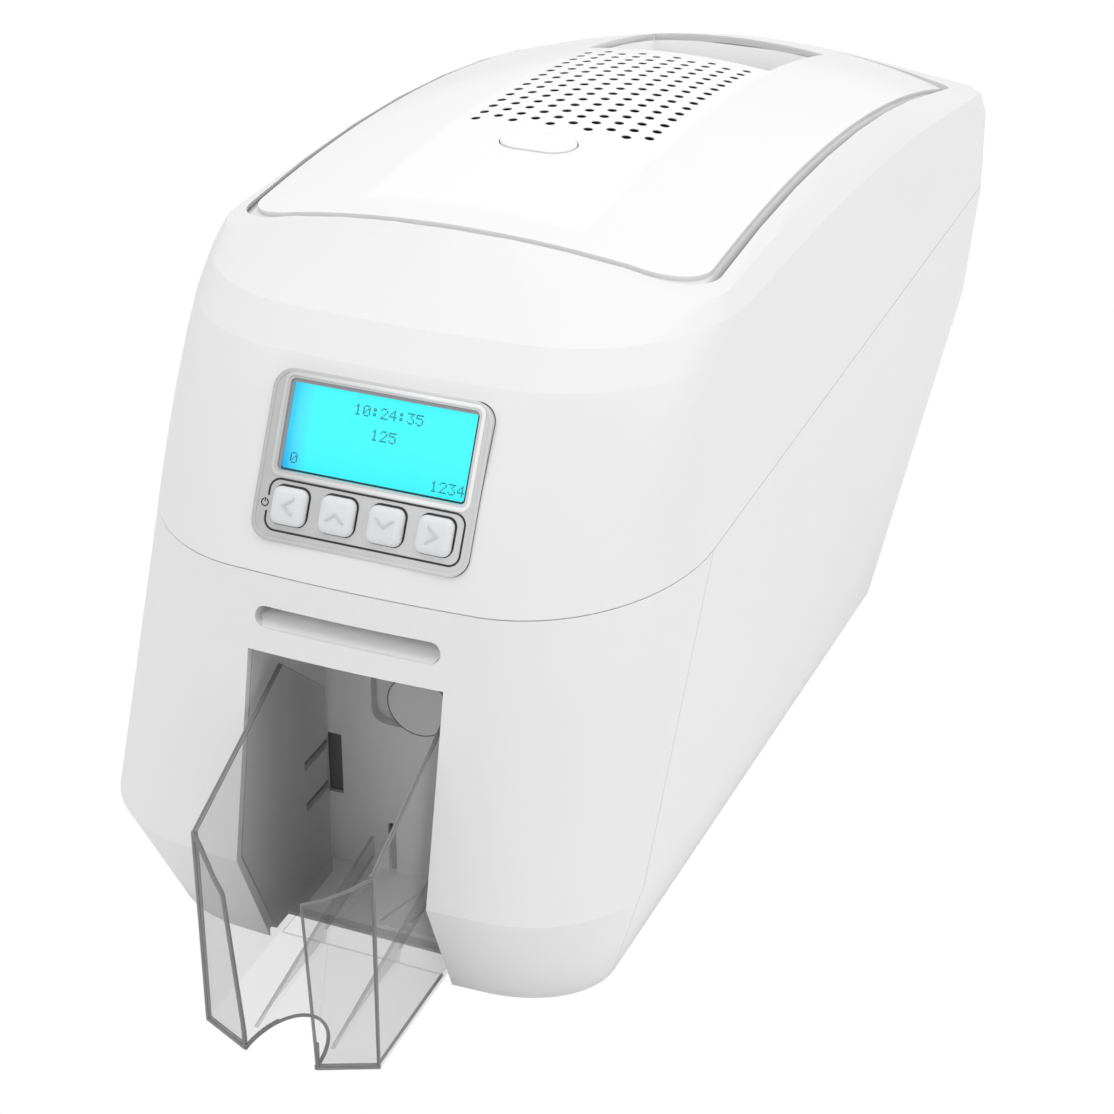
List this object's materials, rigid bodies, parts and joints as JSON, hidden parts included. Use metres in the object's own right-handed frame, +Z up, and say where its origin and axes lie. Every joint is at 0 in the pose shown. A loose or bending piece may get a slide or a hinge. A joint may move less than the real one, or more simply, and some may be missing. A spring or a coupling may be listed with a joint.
{
  "type": "id card printer",
  "caption": "Desktop identity card printer with a rear-hinged lid, screen and keys, rear card hopper, roller and gear drive, ribbon spools and a clear output tray.",
  "frame": {"origin": "on the ground under the middle of the whole machine, output tray and hinge included", "axes": "+X to the right seen from the front, the front faces -Y, +Z up"},
  "size_m": [0.175, 0.4666, 0.2207],
  "materials": {
    "white_casing": "fine satin moulded",
    "white_gloss": "smooth satin gloss",
    "bay_grey": "satin moulded",
    "frame_grey": "moulded",
    "black_plastic": "moulded",
    "gear_plastic": "natural acetal",
    "steel": "zinc plated sheet",
    "bright_steel": "ground",
    "bronze": "sintered",
    "heatsink": "extruded",
    "bezel_silver": "silver paint",
    "screen_glow": "backlit screen",
    "window": "clear",
    "clear_tray": "clear grey polycarbonate",
    "roller_rubber": "ground rubber",
    "cleaning_rubber": "tacky silicone",
    "foot_rubber": "matt",
    "key_silicone": "matt",
    "board_green": "solder mask",
    "film": "dye film"
  },
  "bodies": {
    "chassis": {"front_moulding": "white_casing", "base_shell": "white_casing", "base_plate": "steel", "rubber_feet": "foot_rubber", "bay_liner": "bay_grey", "side_frame_left": "steel", "side_frame_right": "steel", "frame_crossbars": "steel", "card_guide": "black_plastic", "shaft_bushes": "bronze", "input_hopper": "bay_grey", "main_board": "board_green", "rear_sockets": "bright_steel", "drive_motor": "black_plastic", "base_screws": "bright_steel", "hinge_pins": "bright_steel", "latch_catches": "steel", "drive_belt": "black_plastic"},
    "platen_roller": {"platen_shaft": "bright_steel", "platen_sleeve": "roller_rubber", "platen_gear": "gear_plastic"},
    "exit_roller": {"exit_shaft": "bright_steel", "exit_sleeve": "roller_rubber", "exit_gear": "gear_plastic"},
    "front_roller": {"front_shaft": "bright_steel", "front_sleeve": "roller_rubber", "front_gear": "gear_plastic"},
    "feed_roller": {"feed_shaft": "bright_steel", "feed_sleeve": "roller_rubber"},
    "clean_roller": {"clean_shaft": "bright_steel", "clean_sleeve": "cleaning_rubber"},
    "kick_roller": {"kick_shaft": "bright_steel", "kick_sleeve": "roller_rubber"},
    "motor_rotor": {"motor_pinion": "bronze"},
    "idler": {"idler_gear": "gear_plastic"},
    "small_idler": {"small_idler_gear": "gear_plastic"},
    "supply": {"supply_spool": "gear_plastic", "supply_film": "film"},
    "takeup": {"takeup_spool": "gear_plastic", "takeup_film": "film"},
    "tray": {"output_tray": "clear_tray"},
    "weight": {"card_weight": "frame_grey"},
    "lid": {"lid_shell": "white_casing", "top_panel": "white_gloss", "lid_frame": "frame_grey", "printhead": "black_plastic", "heatsink": "heatsink", "fan_housing": "black_plastic", "screen_bezel": "bezel_silver", "screen_window": "window", "screen_module": "screen_glow", "key_mat": "key_silicone", "button_spring": "bright_steel"},
    "fan": {"fan_rotor": "black_plastic"},
    "left_key": {"key_left": "white_gloss"},
    "up_key": {"key_up": "white_gloss"},
    "down_key": {"key_down": "white_gloss"},
    "right_key": {"key_right": "white_gloss"},
    "release": {"release_button": "white_gloss"},
    "latch": {"latch_bar": "frame_grey"}
  },
  "joints": [
    {"name": "lid_hinge", "type": "hinge", "parent": "chassis", "child": "lid", "pos_m": [0, 0.22925, 0.13167], "axis": [-1, 0, 0], "range_deg": [0, 85]},
    {"name": "left_press", "type": "slide", "parent": "lid", "child": "left_key", "axis": [0, 0.8942, -0.4478], "range_m": [0, 0.001], "stiffness_N_per_m": 500, "springref_m": -0.0005},
    {"name": "up_press", "type": "slide", "parent": "lid", "child": "up_key", "axis": [0, 0.8942, -0.4478], "range_m": [0, 0.001], "stiffness_N_per_m": 500, "springref_m": -0.0005},
    {"name": "down_press", "type": "slide", "parent": "lid", "child": "down_key", "axis": [0, 0.8942, -0.4478], "range_m": [0, 0.001], "stiffness_N_per_m": 500, "springref_m": -0.0005},
    {"name": "right_press", "type": "slide", "parent": "lid", "child": "right_key", "axis": [0, 0.8942, -0.4478], "range_m": [0, 0.001], "stiffness_N_per_m": 500, "springref_m": -0.0005},
    {"name": "release_press", "type": "slide", "parent": "lid", "child": "release", "axis": [0, 0, -1], "range_m": [0, 0.0025], "stiffness_N_per_m": 400, "springref_m": -0.002, "deforming": ["button_spring"]},
    {"name": "latch_tilt", "type": "hinge", "parent": "lid", "child": "latch", "pos_m": [0, -0.07885, 0.172], "axis": [-1, 0, 0], "range_deg": [0, 3.7]},
    {"name": "fan_spin", "type": "hinge", "parent": "lid", "child": "fan", "pos_m": [0, 0.04615, 0.19], "axis": [0, 0, 1], "continuous": true},
    {"name": "platen_spin", "type": "hinge", "parent": "chassis", "child": "platen_roller", "pos_m": [0, -0.03085, 0.1136], "axis": [1, 0, 0], "continuous": true},
    {"name": "exit_spin", "type": "hinge", "parent": "chassis", "child": "exit_roller", "pos_m": [0, -0.09685, 0.1136], "axis": [1, 0, 0], "continuous": true},
    {"name": "front_spin", "type": "hinge", "parent": "chassis", "child": "front_roller", "pos_m": [0, -0.12685, 0.1136], "axis": [1, 0, 0], "continuous": true},
    {"name": "feed_spin", "type": "hinge", "parent": "chassis", "child": "feed_roller", "pos_m": [0, 0.05115, 0.1136], "axis": [1, 0, 0], "continuous": true},
    {"name": "clean_spin", "type": "hinge", "parent": "chassis", "child": "clean_roller", "pos_m": [0, 0.08115, 0.1136], "axis": [1, 0, 0], "continuous": true},
    {"name": "kick_spin", "type": "hinge", "parent": "chassis", "child": "kick_roller", "pos_m": [0, 0.13565, 0.1136], "axis": [1, 0, 0], "continuous": true},
    {"name": "idler_spin", "type": "hinge", "parent": "chassis", "child": "idler", "pos_m": [0, -0.06385, 0.1136], "axis": [1, 0, 0], "continuous": true},
    {"name": "small_idler_spin", "type": "hinge", "parent": "chassis", "child": "small_idler", "pos_m": [0, -0.11185, 0.0989], "axis": [1, 0, 0], "continuous": true},
    {"name": "motor_spin", "type": "hinge", "parent": "chassis", "child": "motor_rotor", "pos_m": [0, -0.06385, 0.0876], "axis": [1, 0, 0], "continuous": true},
    {"name": "supply_spin", "type": "hinge", "parent": "chassis", "child": "supply", "pos_m": [0, 0.00815, 0.153], "axis": [1, 0, 0], "continuous": true},
    {"name": "takeup_spin", "type": "hinge", "parent": "chassis", "child": "takeup", "pos_m": [0, -0.07785, 0.153], "axis": [1, 0, 0], "continuous": true},
    {"name": "weight_lift", "type": "slide", "parent": "chassis", "child": "weight", "axis": [0, 0, 1], "range_m": [0, 0.05]},
    {"name": "tray_slide", "type": "slide", "parent": "chassis", "child": "tray", "axis": [0, -1, 0], "range_m": [0, 0.1]}
  ],
  "couplings": [
    {"joint": "exit_spin", "follows": "platen_spin", "ratio": 1},
    {"joint": "front_spin", "follows": "platen_spin", "ratio": 1},
    {"joint": "feed_spin", "follows": "platen_spin", "ratio": 1},
    {"joint": "clean_spin", "follows": "platen_spin", "ratio": 1},
    {"joint": "kick_spin", "follows": "platen_spin", "ratio": 1},
    {"joint": "idler_spin", "follows": "platen_spin", "ratio": -0.65},
    {"joint": "small_idler_spin", "follows": "platen_spin", "ratio": -1.625},
    {"joint": "motor_spin", "follows": "platen_spin", "ratio": 2.1667},
    {"joint": "latch_tilt", "follows": "release_press", "rad_per_m": 25}
  ]
}
